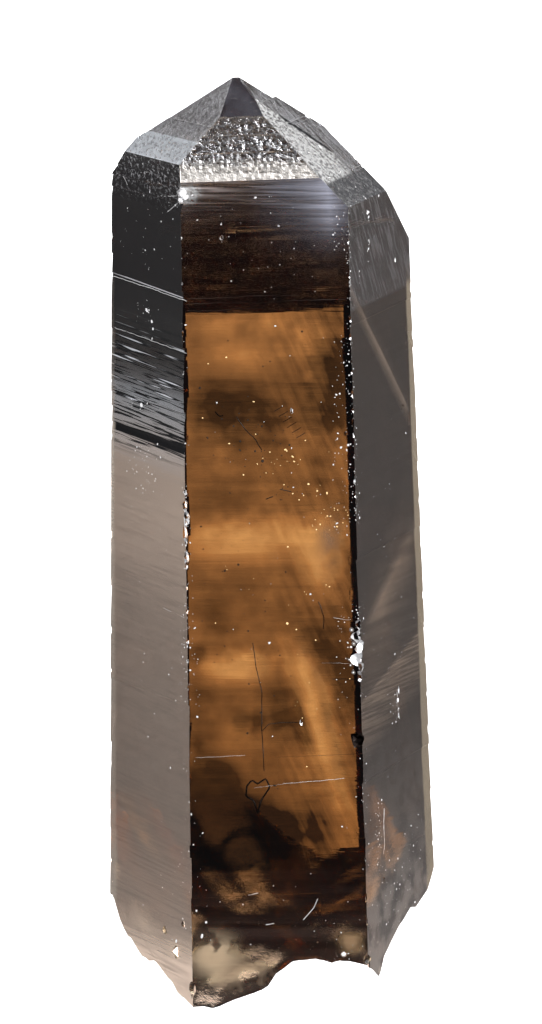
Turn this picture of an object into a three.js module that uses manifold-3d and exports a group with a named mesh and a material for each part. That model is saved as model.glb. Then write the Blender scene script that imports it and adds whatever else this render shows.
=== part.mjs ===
// A smoky quartz crystal, broken off its matrix, lying on one of its long faces. Millimetres, +Z up.
import * as THREE from "three";
import { ConvexGeometry } from "three/addons/geometries/ConvexGeometry.js";
import { mergeVertices } from "three/addons/utils/BufferGeometryUtils.js";
import Module from "manifold-3d";

// The crystal is made along its own axis: +Y runs to the point and +Z to the face that ends up on top.
// A face is placed by its turn about that axis in degrees, 0 on top and 90 to the right.
const prismTaper = 1.25; // degrees that a long face leans in to the axis
const prismFaces = {
  front: { turn: 0, distance: 12.6, lean: 1.7 },
  frontRight: { turn: 60, distance: 12.6, lean: prismTaper },
  backRight: { turn: 120, distance: 13.3, lean: prismTaper },
  back: { turn: 180, distance: 12.6, lean: prismTaper },
  backLeft: { turn: -120, distance: 13.42, lean: prismTaper },
  frontLeft: { turn: -60, distance: 14.6, lean: prismTaper },
};

// The six faces of the point lean alike, and each would meet the axis at its own height.
const pointLean = 38.2; // 90 degrees less quartz's 51.8
const pointFaces = {
  pointFront: { turn: 0, height: 56.4 },
  pointFrontRight: { turn: 60, height: 48.25 },
  pointBackRight: { turn: 120, height: 43.6 },
  pointBack: { turn: 180, height: 35.2 },
  pointBackLeft: { turn: -120, height: 51.4 },
  pointFrontLeft: { turn: -60, height: 55.4 },
};
const shoulder = { turn: 0, distance: 14.5, lean: 4.7 }; // the etched facet between front and point
const capHeight = -52; // the blank ends here, below the break

// The break at the foot: its height round the rim by turn, and at the middle.
const breakMiddle = -41.6;
const breakRim = [
  [-84, -38.9], [-80, -41.2], [-68, -43.2], [-57, -43.7], [-51, -44.8], [-37, -45.9],
  [-30, -46.1], [-18, -45.0], [-6, -44.4], [12, -44.5], [28, -45.1], [38, -44.7],
  [41, -43.3], [53, -41.7], [60, -41.7], [74, -40.7], [88, -39.7], [93, -38.0],
  [120, -38.6], [148, -36.9], [160, -38.0], [170, -36.6], [182, -34.0], [192, -32.1],
  [206, -31.6], [222, -32.4], [245, -34.6], [265, -38.4],
];
const breakScoops = [
  { x: 1.6, z: 14.6, radius: 4.4, depth: 2.9 },
  { x: 5.8, z: 14.6, radius: 4.0, depth: 3.1 },
  { x: -4.5, z: 5.5, radius: 6.0, depth: 2.0 },
  { x: 5.6, z: 1.4, radius: 5.8, depth: 1.8 },
  { x: -10.6, z: -1.0, radius: 5.0, depth: 1.5 },
  { x: -2.6, z: -7.2, radius: 5.4, depth: 1.6 },
  { x: 8.8, z: -5.4, radius: 4.6, depth: 1.4 },
  { x: -12.6, z: 9.4, radius: 2.6, depth: 0.7 },
  { x: 11.8, z: 5.6, radius: 2.8, depth: 0.7 },
];
const scoopRipple = { pitch: 1.7, height: 0.16 };
const breakRoughness = { size: 1.5, height: 0.55 };
const breakCells = { across: 46, through: 34, width: 37, thickness: 30, depth: 12 };
const breakReach = 1.1; // how far past the rim the break runs on, as a share of the way out to it

// Growth ledges: level steps, each a sliver taken off one face. The deep side of it is the step.
const ledges = [
  { face: "pointFrontRight", from: 43.45, to: 50, depth: 0.34, start: -9, end: 9, flat: true },
  { face: "pointFrontRight", from: 40.85, to: 41.15, depth: 0.16, start: -9, end: 9, flat: true },
  { face: "pointFrontRight", from: 35.55, to: 35.8, depth: 0.16, start: -0.8, end: 2.6, flat: true },
  { face: "pointFrontLeft", from: 39.8, to: 50, depth: 0.06, start: -9, end: 9, flat: true },
  { face: "pointFrontLeft", from: 41.5, to: 50, depth: 0.12, start: -9, end: 9, flat: true },
  { face: "shoulder", from: 37.5, to: 38.9, depth: 0.12, start: -9, end: 12 },
  { face: "shoulder", from: 39.3, to: 40.6, depth: 0.1, start: -9, end: 12 },
  { face: "front", from: 34.3, to: 35.9, depth: 0.1, start: -12, end: 6 },
  { face: "front", from: 32.6, to: 34.0, depth: 0.08, start: -12, end: 12 },
  { face: "front", from: 29.4, to: 31.6, depth: 0.08, start: -4, end: 12 },
  { face: "front", from: -24.4, to: -21.6, depth: 0.09, start: -1, end: 12 },
  { face: "front", from: -33.9, to: -30.2, depth: 0.14, start: -12, end: 12 },
  { face: "front", from: -38.2, to: -35.6, depth: 0.1, start: -12, end: 3 },
  { face: "frontLeft", from: 35.6, to: 36.4, depth: 0.3, start: -9, end: 3 },
  { face: "frontLeft", from: 34.4, to: 35.3, depth: 0.32, start: -9, end: 0 },
  { face: "frontLeft", from: 33.2, to: 34.1, depth: 0.26, start: -9, end: 9 },
  { face: "frontLeft", from: 22.6, to: 25.4, depth: 0.12, start: -9, end: 9 },
  { face: "frontLeft", from: 16.2, to: 19.8, depth: 0.14, start: -9, end: 9 },
  { face: "frontLeft", from: 11.9, to: 13.4, depth: 0.16, start: -9, end: 9 },
  { face: "frontLeft", from: 8.6, to: 10.4, depth: 0.14, start: -9, end: 6 },
  { face: "frontLeft", from: -22.0, to: -16.0, depth: 0.1, start: -9, end: 9 },
  { face: "frontLeft", from: -37.0, to: -31.5, depth: 0.12, start: -9, end: 9 },
  { face: "frontRight", from: 17.0, to: 21.4, depth: 0.1, start: -9, end: 9 },
  { face: "frontRight", from: -6.2, to: -2.0, depth: 0.1, start: -9, end: 9 },
  { face: "frontRight", from: -30.0, to: -24.6, depth: 0.12, start: -9, end: 9 },
  { face: "backRight", from: 12.5, to: 16.4, depth: 0.18, start: -10, end: 10 },
  { face: "backRight", from: 1.0, to: 4.6, depth: 0.14, start: -10, end: 3 },
  { face: "backRight", from: -16.5, to: -12.4, depth: 0.2, start: -10, end: 10 },
  { face: "backRight", from: -34.0, to: -29.6, depth: 0.16, start: -10, end: 10 },
  { face: "backLeft", from: 24.0, to: 27.4, depth: 0.18, start: -10, end: 10 },
  { face: "backLeft", from: 8.6, to: 12.0, depth: 0.2, start: -10, end: 10 },
  { face: "backLeft", from: -9.5, to: -6.4, depth: 0.14, start: -4, end: 10 },
  { face: "backLeft", from: -27.0, to: -22.5, depth: 0.18, start: -10, end: 10 },
  { face: "pointBack", from: 33.0, to: 34.2, depth: 0.2, start: -9, end: 9 },
  { face: "pointBack", from: 28.0, to: 29.0, depth: 0.16, start: -9, end: 4 },
];
const ledgeProud = 1; // how far a ledge's cutter stands out of its face

// Chips off the edges where two faces meet, each at its height. Size is its reach from the edge, and aside
// is how far its middle is moved across the edge, minus on to the first face and plus on to the other.
const chips = [
  { edge: ["front", "frontLeft"], at: 35.0, size: 0.75, length: 0.8, aside: 0 },
  { edge: ["front", "frontRight"], at: -8.5, size: 0.55, length: 0.8, aside: 0.1 },
  { edge: ["front", "frontRight"], at: -9.7, size: 0.85, length: 0.9, aside: -0.25 },
  { edge: ["front", "frontRight"], at: -10.8, size: 1.0, length: 1.0, aside: 0.35 },
  { edge: ["front", "frontRight"], at: -11.9, size: 1.05, length: 0.9, aside: -0.2 },
  { edge: ["front", "frontRight"], at: -12.8, size: 0.75, length: 0.8, aside: 0.4 },
  { edge: ["front", "frontRight"], at: -13.7, size: 0.5, length: 0.7, aside: 0 },
  { edge: ["front", "frontRight"], at: -20.2, size: 1.2, length: 1.25, aside: -0.6 },
  { edge: ["front", "frontRight"], at: -42.8, size: 0.8, length: 1.0, aside: 0.2 },
  { edge: ["front", "frontLeft"], at: 4.0, size: 0.45, length: 0.8, aside: 0.1 },
  { edge: ["front", "frontLeft"], at: 2.8, size: 0.55, length: 0.9, aside: -0.1 },
  { edge: ["front", "frontLeft"], at: 1.2, size: 0.5, length: 1.1, aside: 0.15 },
  { edge: ["front", "frontLeft"], at: -1.2, size: 0.42, length: 0.9, aside: 0 },
  { edge: ["front", "frontLeft"], at: -45.0, size: 0.7, length: 1.1, aside: 0.2 },
  { edge: ["frontLeft", "backLeft"], at: -38.9, size: 0.6, length: 1.0, aside: -0.2 },
];
const chipRaggedness = 0.35; // part of a lump's size that its corners may lack
const chipStandOff = 0.2; // part of its size that a lump's middle is outside the edge
const pitShape = { standOff: 0.45, length: 1.6 }; // the same for a pit off its face, and its length, in sizes
// Rows of nicks, small chips strewn along an edge between two heights. Each varies within nickSpread:
// its place in its share of the row, its size as a part of the row's, and its length in sizes.
const nickSpread = { place: [0.15, 0.85], size: [0.6, 1.4], length: [1.2, 2.8] };
const nickRows = [
  { edge: ["front", "frontRight"], from: 2, to: 32, count: 20, size: 0.2 },
  { edge: ["front", "frontRight"], from: -41, to: -14, count: 7, size: 0.2 },
  { edge: ["front", "frontLeft"], from: -15, to: 6, count: 9, size: 0.26 },
  { edge: ["front", "frontLeft"], from: 8, to: 34, count: 5, size: 0.18 },
  { edge: ["frontLeft", "backLeft"], from: -37, to: 31, count: 14, size: 0.22 },
  { edge: ["frontRight", "backRight"], from: -36, to: 24, count: 16, size: 0.26 },
  { edge: ["back", "backRight"], from: -40, to: 18, count: 9, size: 0.3 },
  { edge: ["back", "backLeft"], from: -39, to: 18, count: 9, size: 0.3 },
  { edge: ["pointFrontRight", "pointBackRight"], from: 36, to: 41, count: 4, size: 0.18 },
];
// Pits in the open of a face, at a height and a distance across it.
const pits = [
  { face: "frontRight", at: 31.8, across: -2.0, size: 0.3 },
  { face: "frontRight", at: 28.9, across: -1.9, size: 0.34 },
  { face: "frontRight", at: 25.9, across: 4.2, size: 0.22 },
  { face: "frontRight", at: -17.3, across: 1.4, size: 0.34 },
  { face: "frontRight", at: -19.8, across: 1.2, size: 0.3 },
  { face: "frontRight", at: -26.5, across: -3.0, size: 0.36 },
  { face: "frontRight", at: -35.6, across: -3.7, size: 0.32 },
  { face: "frontLeft", at: 19.8, across: 0.4, size: 0.3 },
  { face: "frontLeft", at: -40.0, across: 2.2, size: 0.6 },
  { face: "frontLeft", at: -41.8, across: 4.2, size: 0.8 },
  { face: "frontLeft", at: -38.6, across: 5.4, size: 0.45 },
  { face: "front", at: 30.6, across: -5.4, size: 0.3 },
  { face: "front", at: 13.2, across: 1.1, size: 0.3 },
  { face: "front", at: -18.2, across: 1.4, size: 0.3 },
  { face: "backRight", at: 6.5, across: -2.4, size: 0.4 },
  { face: "backLeft", at: -17.0, across: 1.6, size: 0.45 },
];
const randomSeed = 41;

const smokyQuartz = new THREE.MeshStandardMaterial({
  name: "smoky_quartz",
  color: 0x6b4a30,
  roughness: 0.1,
  metalness: 0,
});

const { degToRad, seededRandom, lerp, smoothstep, euclideanModulo } = THREE.MathUtils;

const wasm = await Module();
wasm.setup();

// A plane whose normal leans up from the level by lean, through a point.
function leaningPlane(turn, lean, point) {
  const across = Math.cos(degToRad(lean));
  const normal = new THREE.Vector3(
    Math.sin(degToRad(turn)) * across,
    Math.sin(degToRad(lean)),
    Math.cos(degToRad(turn)) * across,
  );
  return new THREE.Plane().setFromNormalAndCoplanarPoint(normal, point);
}

function prismPlane({ turn, distance, lean }) {
  const foot = new THREE.Vector3(Math.sin(degToRad(turn)), 0, Math.cos(degToRad(turn)));
  return leaningPlane(turn, lean, foot.multiplyScalar(distance));
}

function pointPlane({ turn, height }) {
  return leaningPlane(turn, pointLean, new THREE.Vector3(0, height, 0));
}

function allPlanes() {
  const planes = { shoulder: prismPlane(shoulder) };
  for (const [name, face] of Object.entries(prismFaces)) planes[name] = prismPlane(face);
  for (const [name, face] of Object.entries(pointFaces)) planes[name] = pointPlane(face);
  return planes;
}

// The point that three planes share, or null where two of them are parallel.
function meetingPoint(a, b, c) {
  const bc = new THREE.Vector3().crossVectors(b.normal, c.normal);
  const ca = new THREE.Vector3().crossVectors(c.normal, a.normal);
  const ab = new THREE.Vector3().crossVectors(a.normal, b.normal);
  const size = a.normal.dot(bc);
  if (Math.abs(size) < 1e-9) return null;
  return bc
    .multiplyScalar(-a.constant)
    .addScaledVector(ca, -b.constant)
    .addScaledVector(ab, -c.constant)
    .divideScalar(size);
}

// The corners of the convex body that all the planes enclose.
function cornersInside(planes) {
  const corners = [];
  for (let i = 0; i < planes.length; i++)
    for (let j = i + 1; j < planes.length; j++)
      for (let k = j + 1; k < planes.length; k++) {
        const point = meetingPoint(planes[i], planes[j], planes[k]);
        if (point && planes.every((plane) => plane.distanceToPoint(point) < 1e-6)) corners.push(point);
      }
  return corners;
}

function solidOf(geometry) {
  const bare = geometry.index ? geometry.toNonIndexed() : geometry.clone();
  bare.deleteAttribute("normal");
  bare.deleteAttribute("uv");
  const merged = mergeVertices(bare, 1e-5);
  return new wasm.Manifold(
    new wasm.Mesh({
      numProp: 3,
      vertProperties: merged.attributes.position.array,
      triVerts: new Uint32Array(merged.index.array),
    }),
  );
}

function geometryOf(solid) {
  const mesh = solid.getMesh();
  const geometry = new THREE.BufferGeometry();
  geometry.setAttribute("position", new THREE.BufferAttribute(mesh.vertProperties, 3));
  geometry.setIndex(new THREE.BufferAttribute(mesh.triVerts, 1));
  return geometry;
}

function crystalBlank(planes) {
  const cap = new THREE.Plane(new THREE.Vector3(0, -1, 0), capHeight);
  return solidOf(new ConvexGeometry(cornersInside([...Object.values(planes), cap])));
}

// A steady random number from 0 to 1 for each cell of a grid.
function cellValue(i, j) {
  const wave = Math.sin(i * 127.1 + j * 311.7 + randomSeed) * 43758.5453;
  return wave - Math.floor(wave);
}

function smoothNoise(x, z) {
  const i = Math.floor(x);
  const j = Math.floor(z);
  const u = smoothstep(x - i, 0, 1);
  const v = smoothstep(z - j, 0, 1);
  const near = lerp(cellValue(i, j), cellValue(i + 1, j), u);
  const far = lerp(cellValue(i, j + 1), cellValue(i + 1, j + 1), u);
  return lerp(near, far, v) - 0.5;
}

// How far out the long faces are in the direction of a turn.
function rimRadius(turn) {
  const reaches = Object.values(prismFaces).map((face) => {
    const facing = Math.cos(degToRad(turn - face.turn));
    return facing > 0.1 ? face.distance / facing : Infinity;
  });
  return Math.min(...reaches);
}

function rimHeight(turn) {
  const start = breakRim[0][0];
  const wrapped = start + euclideanModulo(turn - start, 360);
  const closed = [...breakRim, [start + 360, breakRim[0][1]]];
  const next = closed.findIndex(([angle]) => angle > wrapped);
  const [angleA, heightA] = closed[next - 1];
  const [angleB, heightB] = closed[next];
  return lerp(heightA, heightB, (wrapped - angleA) / (angleB - angleA));
}

// A shell-shaped hollow with faint rings round its middle.
function scoopHeight({ x, z, radius, depth }, atX, atZ) {
  const away = Math.hypot(atX - x, atZ - z);
  if (away > radius) return 0;
  const hollow = depth * (1 - (away / radius) ** 2);
  const fade = away / radius;
  return hollow + scoopRipple.height * fade * Math.cos((2 * Math.PI * away) / scoopRipple.pitch);
}

function breakHeight(x, z) {
  const turn = THREE.MathUtils.radToDeg(Math.atan2(x, z));
  const outward = Math.min(Math.hypot(x, z) / rimRadius(turn), breakReach);
  const bowl = lerp(breakMiddle, rimHeight(turn), outward ** 2);
  const scoops = breakScoops.map((scoop) => scoopHeight(scoop, x, z));
  const { size, height } = breakRoughness;
  return bowl + Math.max(...scoops) + height * smoothNoise(x / size, z / size);
}

// All that lies below the break.
function belowBreak() {
  const { across, through, width, thickness, depth } = breakCells;
  const block = new THREE.BoxGeometry(width, depth, thickness, across, 1, through);
  const points = block.attributes.position;
  for (let i = 0; i < points.count; i++) {
    const top = points.getY(i) > 0;
    points.setY(i, top ? breakHeight(points.getX(i), points.getZ(i)) : capHeight - depth);
  }
  return solidOf(block);
}

// A frame on a face at one height: across it, up it, and out of it.
function faceFrame(plane, at) {
  const out = plane.normal;
  const across = new THREE.Vector3(out.z, 0, -out.x).normalize();
  const up = new THREE.Vector3().crossVectors(out, across).negate();
  if (up.y < 0) up.negate();
  const level = new THREE.Plane(new THREE.Vector3(0, 1, 0), -at);
  const middle = new THREE.Plane(across, 0);
  return { origin: meetingPoint(plane, level, middle), across, up, out };
}

function framePoint({ origin, across, up, out }, a, u, o) {
  return origin
    .clone()
    .addScaledVector(across, a)
    .addScaledVector(up, u)
    .addScaledVector(out, o);
}

// A flat ledge is a slab as deep at both ends; any other runs out to nothing at its lower end.
function ledgeCutter(ledge, planes) {
  const { face, from, to, depth, start, end, flat } = ledge;
  const frame = faceFrame(planes[face], from);
  const length = (to - from) / frame.up.y;
  const points = [];
  for (const a of [start, end])
    points.push(
      framePoint(frame, a, 0, flat ? -depth : 0),
      framePoint(frame, a, 0, ledgeProud),
      framePoint(frame, a, length, -depth),
      framePoint(frame, a, length, ledgeProud),
    );
  return solidOf(new ConvexGeometry(points));
}

// A ragged lump, longest along a direction.
function lump(detail, centre, direction, reach, length) {
  const ball = new THREE.IcosahedronGeometry(1, detail);
  const corners = ball.attributes.position;
  const corner = new THREE.Vector3();
  for (let i = 0; i < corners.count; i++) {
    corner.fromBufferAttribute(corners, i);
    const key = Math.round(corner.x * 40) + 90 * Math.round(corner.y * 40);
    corner.multiplyScalar(1 - chipRaggedness * cellValue(key, Math.round(corner.z * 40)));
    corners.setXYZ(i, corner.x, corner.y, corner.z);
  }
  ball.rotateX(seededRandom() * Math.PI);
  ball.rotateZ(seededRandom() * Math.PI);
  ball.scale(reach, length, reach);
  const along = new THREE.Quaternion().setFromUnitVectors(new THREE.Vector3(0, 1, 0), direction);
  ball.applyQuaternion(along);
  ball.translate(centre.x, centre.y, centre.z);
  return solidOf(ball);
}

function edgeChip({ edge, at, size, length, aside }, planes, detail) {
  const [one, other] = edge.map((name) => planes[name]);
  const level = new THREE.Plane(new THREE.Vector3(0, 1, 0), -at);
  const point = meetingPoint(one, other, level);
  const outward = one.normal.clone().add(other.normal).normalize();
  const sideways = other.normal.clone().sub(one.normal).normalize();
  const along = new THREE.Vector3().crossVectors(one.normal, other.normal).normalize();
  point.addScaledVector(outward, size * chipStandOff).addScaledVector(sideways, aside);
  return lump(detail, point, along, size, length);
}

// A random number between two.
function between([low, high]) {
  return lerp(low, high, seededRandom());
}

function nickRow({ edge, from, to, count, size }, planes) {
  const nicks = [];
  for (let i = 0; i < count; i++) {
    const at = lerp(from, to, (i + between(nickSpread.place)) / count);
    const reach = size * between(nickSpread.size);
    const length = reach * between(nickSpread.length);
    nicks.push(edgeChip({ edge, at, size: reach, length, aside: 0 }, planes, 0));
  }
  return nicks;
}

function facePit({ face, at, across, size }, planes) {
  const frame = faceFrame(planes[face], at);
  const centre = framePoint(frame, across, 0, size * pitShape.standOff);
  return lump(0, centre, frame.up, size, size * pitShape.length);
}

function crystalGeometry() {
  const planes = allPlanes();
  seededRandom(randomSeed);
  const cutters = [
    belowBreak(),
    ...ledges.map((ledge) => ledgeCutter(ledge, planes)),
    ...chips.map((chip) => edgeChip(chip, planes, 1)),
    ...nickRows.flatMap((row) => nickRow(row, planes)),
    ...pits.map((pit) => facePit(pit, planes)),
  ];
  let crystal = crystalBlank(planes);
  for (const cutter of cutters) crystal = crystal.subtract(cutter);
  return geometryOf(crystal);
}

// Lays the crystal down on its back face, with the middle of its box over the origin.
function layDown(geometry) {
  geometry.rotateX(-degToRad(prismTaper));
  geometry.computeBoundingBox();
  const middle = geometry.boundingBox.getCenter(new THREE.Vector3());
  geometry.translate(-middle.x, -middle.y, -geometry.boundingBox.min.z);
  geometry.computeVertexNormals();
  return geometry;
}

const crystal = new THREE.Mesh(layDown(crystalGeometry()), smokyQuartz);
crystal.name = "crystal";

const part = new THREE.Group();
part.add(crystal);

export default part;
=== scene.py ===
import math
import random

import bmesh
import bpy
from mathutils import Matrix, Vector


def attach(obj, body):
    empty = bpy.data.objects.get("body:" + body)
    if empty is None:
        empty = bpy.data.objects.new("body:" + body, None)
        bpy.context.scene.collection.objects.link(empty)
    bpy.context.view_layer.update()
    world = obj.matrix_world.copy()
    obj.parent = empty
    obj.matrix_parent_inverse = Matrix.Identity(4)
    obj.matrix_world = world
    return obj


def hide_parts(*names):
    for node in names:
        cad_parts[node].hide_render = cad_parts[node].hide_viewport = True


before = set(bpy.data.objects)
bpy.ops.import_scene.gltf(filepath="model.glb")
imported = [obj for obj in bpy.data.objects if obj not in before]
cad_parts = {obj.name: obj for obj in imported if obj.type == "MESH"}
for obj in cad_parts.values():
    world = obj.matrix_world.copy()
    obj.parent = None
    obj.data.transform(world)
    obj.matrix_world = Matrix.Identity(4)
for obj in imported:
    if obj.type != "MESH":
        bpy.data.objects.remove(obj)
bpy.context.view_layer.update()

mm = 0.001

# The crystal's own axes, in millimetres as the CAD source has them: +Y runs to the point,
# +Z to the face on top.
lying = {"tilt": 1.25, "shift": (0.622, 0.324, 12.597)}
turnDown = Matrix.Rotation(-math.radians(lying["tilt"]), 4, "X")
crystalToPart = Matrix.Scale(mm, 4) @ Matrix.Translation(lying["shift"]) @ turnDown
partToCrystal = crystalToPart.inverted()

# Each long face by its turn about the axis, its distance and its lean, then each face of the point
# by turn and height.
longFaces = {
    "front": (0, 12.6, 1.7),
    "frontRight": (60, 12.6, 1.25),
    "backRight": (120, 13.3, 1.25),
    "back": (180, 12.6, 1.25),
    "backLeft": (-120, 13.42, 1.25),
    "frontLeft": (-60, 14.6, 1.25),
    "shoulder": (0, 14.5, 4.7),
}
pointFaces = {
    "pointFront": (0, 56.4),
    "pointFrontRight": (60, 48.25),
    "pointBackRight": (120, 43.6),
    "pointBack": (180, 35.2),
    "pointBackLeft": (-120, 51.4),
    "pointFrontLeft": (-60, 55.4),
}
pointLean = 38.2


def leaning(turn, lean):
    across = math.cos(math.radians(lean))
    return Vector((
        math.sin(math.radians(turn)) * across,
        math.sin(math.radians(lean)),
        math.cos(math.radians(turn)) * across,
    ))


# A face's plane is its outward normal and how far out along it the face lies.
planes = {
    name: (leaning(turn, lean), distance * math.cos(math.radians(lean)))
    for name, (turn, distance, lean) in longFaces.items()
}
planes.update({
    name: (leaning(turn, pointLean), height * math.sin(math.radians(pointLean)))
    for name, (turn, height) in pointFaces.items()
})


class Wire:
    # one socket of a node tree, so that sums on it read as Python

    def __init__(self, board, socket):
        self.board = board
        self.socket = socket

    def sum(self, operation, first, second=0.0):
        return self.board.node("ShaderNodeMath", {"operation": operation}, {0: first, 1: second})

    def __add__(self, other):
        return self.sum("ADD", self, other)

    def __sub__(self, other):
        return self.sum("SUBTRACT", self, other)

    def __rsub__(self, other):
        return self.sum("SUBTRACT", other, self)

    def __mul__(self, other):
        return self.sum("MULTIPLY", self, other)

    def __truediv__(self, other):
        return self.sum("DIVIDE", self, other)

    def __pow__(self, other):
        return self.sum("POWER", self, other)

    __radd__ = __add__
    __rmul__ = __mul__

    def most(self, other):
        return self.sum("MAXIMUM", self, other)

    def rise(self, low, high, top=1.0, bottom=0.0):
        # bottom below low and top above high, with soft ends
        spread = {"Value": self, "From Min": low, "From Max": high, "To Min": bottom, "To Max": top}
        soft = {"interpolation_type": "SMOOTHSTEP"}
        return self.board.node("ShaderNodeMapRange", soft, spread)

    def band(self, low, high, soft):
        return self.rise(low - soft, low + soft) * (1 - self.rise(high - soft, high + soft))


class Board:
    # a node tree, with one call for every node

    def __init__(self, tree):
        self.tree = tree

    def node(self, kind, settings=None, sockets=None, out=0):
        made = self.tree.nodes.new(kind)
        for name, value in (settings or {}).items():
            setattr(made, name, value)
        for name, value in (sockets or {}).items():
            self.plug(made.inputs[name], value)
        return Wire(self, made.outputs[out]) if made.outputs else None

    def plug(self, socket, value):
        if isinstance(value, Wire):
            self.tree.links.new(value.socket, socket)
        else:
            socket.default_value = value

    def parts(self, vector):
        split = self.node("ShaderNodeSeparateXYZ", None, {0: vector})
        return [Wire(self, output) for output in split.socket.node.outputs]

    def join(self, x, y, z):
        return self.node("ShaderNodeCombineXYZ", None, {0: x, 1: y, 2: z})

    def vector(self, operation, first, second, out=0):
        settings = {"operation": operation}
        return self.node("ShaderNodeVectorMath", settings, {0: first, 1: second}, out)

    def noise(self, at, size, detail=2.0, rough=0.5):
        sockets = {"Vector": at, "Scale": 1 / size, "Detail": detail, "Roughness": rough}
        return self.node("ShaderNodeTexNoise", None, sockets)

    def mix(self, amount, first, second):
        # the colour sockets of a Mix node are its seventh and eighth
        settings = {"data_type": "RGBA", "clamp_factor": True}
        return self.node("ShaderNodeMix", settings, {0: amount, 6: first, 7: second}, 2)

    def blend(self, amount, first, second):
        settings = {"data_type": "FLOAT", "clamp_factor": True}
        return self.node("ShaderNodeMix", settings, {0: amount, 2: first, 3: second})

    def ramp(self, amount, stops):
        made = self.node("ShaderNodeValToRGB", None, {0: amount})
        colours = made.socket.node.color_ramp.elements
        while len(colours) < len(stops):
            colours.new(0.5)
        for stop, (position, colour) in zip(colours, stops):
            stop.position = position
            stop.color = (*colour, 1)
        return made

    def attribute(self, name):
        return self.node("ShaderNodeAttribute", {"attribute_name": name}, None, "Fac")


# The camera looks down on the crystal from 750 mm, a little from the side of the point.
view = {
    "target": (0.622, 0.324, 11.85),
    "distance": 750.0,
    "lean": 14.6,
    "swing": 4.89,
    "roll": 0.96,
}
lens = {"focalPixels": 7500.0, "tallPixels": 1024, "sensor": 24.0, "near": 0.01, "far": 20.0}


def addCamera():
    lean, swing, roll = (math.radians(view[name]) for name in ("lean", "swing", "roll"))
    level = math.cos(lean)
    back = Vector((-math.sin(swing) * level, math.sin(lean), math.cos(swing) * level))
    up = (Vector((0, 1, 0)) - back * back.y).normalized()
    right = up.cross(back)
    turnedRight = right * math.cos(roll) - up * math.sin(roll)
    turnedUp = right * math.sin(roll) + up * math.cos(roll)
    data = bpy.data.cameras.new("camera")
    data.sensor_fit = "VERTICAL"
    data.sensor_height = lens["sensor"]
    data.lens = lens["focalPixels"] / lens["tallPixels"] * lens["sensor"]
    data.clip_start = lens["near"]
    data.clip_end = lens["far"]
    camera = bpy.data.objects.new("camera", data)
    placed = Matrix((turnedRight, turnedUp, back)).transposed().to_4x4()
    placed.translation = (Vector(view["target"]) + back * view["distance"]) * mm
    camera.matrix_world = placed
    bpy.context.scene.collection.objects.link(camera)
    bpy.context.scene.camera = camera


addCamera()
print("camera placed")

# How finely the body is cut up before its relief, and what its faces count as. Millimetres and
# degrees.
body = {
    "lengthPitch": 2.2,
    "levelPitch": (0.25, 1.1),
    "foot": -46.0,
    "top": 44.0,
    "halfWidth": 17.0,
    "pointPitch": 0.3,
    "pointFrom": 33.5,
    "mergeWithin": 0.001,
    "cutWithin": 0.0001,
    "flatWithin": 0.2,
    "breakCuts": 1,
    "breakSmoothing": 2,
    "breakEase": 0.5,
    "nearFace": 0.45,
    "nearTurn": 25.0,
    "stepFacing": 0.97,
    "breakBelow": -29.0,
    "seed": 7,
}
kindNames = [*planes, "step", "break", "scar"]


def kindOf(centre, normal):
    # the name of the long or point face that a small face belongs to, or else what it is
    near = {
        abs(facing.dot(centre) - reach): name
        for name, (facing, reach) in planes.items()
        if normal.dot(facing) > math.cos(math.radians(body["nearTurn"]))
    }
    if near and min(near) < body["nearFace"]:
        return near[min(near)]
    if abs(normal.y) > body["stepFacing"] and centre.y > body["breakBelow"]:
        return "step"
    return "break" if centre.y < body["breakBelow"] else "scar"


def startBody():
    # a merged copy of the CAD mesh with its flat faces whole again, each face with its kind
    shape = bmesh.new()
    shape.from_mesh(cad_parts["crystal"].data)
    bmesh.ops.remove_doubles(shape, verts=shape.verts, dist=body["mergeWithin"] * mm)
    flat = math.radians(body["flatWithin"])
    bmesh.ops.dissolve_limit(shape, angle_limit=flat, verts=shape.verts, edges=shape.edges)
    kinds = shape.faces.layers.int.new("kind")
    turnUp = turnDown.to_3x3().transposed()
    for face in shape.faces:
        kind = kindOf(partToCrystal @ face.calc_center_median(), turnUp @ face.normal)
        face[kinds] = kindNames.index(kind)
    return shape, kinds


def sweep(shape, faces, normal, offsets):
    # cuts the faces by planes along a direction of the crystal, each time going on with what lies
    # beyond
    facing = turnDown.to_3x3() @ Vector(normal)
    for offset in offsets:
        point = crystalToPart @ (Vector(normal) * offset)
        faces = [
            face for face in faces
            if max((vert.co - point).dot(facing) for vert in face.verts) > 0
        ]
        edges = list({edge for face in faces for edge in face.edges})
        verts = list({vert for face in faces for vert in face.verts})
        made = bmesh.ops.bisect_plane(
            shape, geom=verts + edges + faces, dist=body["cutWithin"] * mm,
            plane_co=point, plane_no=facing,
        )
        faces = [item for item in made["geom"] if isinstance(item, bmesh.types.BMFace)]


def steady(low, high, pitch):
    return [low + pitch * i for i in range(int((high - low) / pitch) + 1)]


def uneven(low, high, pitches):
    chance = random.Random(body["seed"])
    offsets = [low]
    while offsets[-1] < high:
        offsets.append(offsets[-1] + chance.uniform(*pitches))
    return offsets


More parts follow.
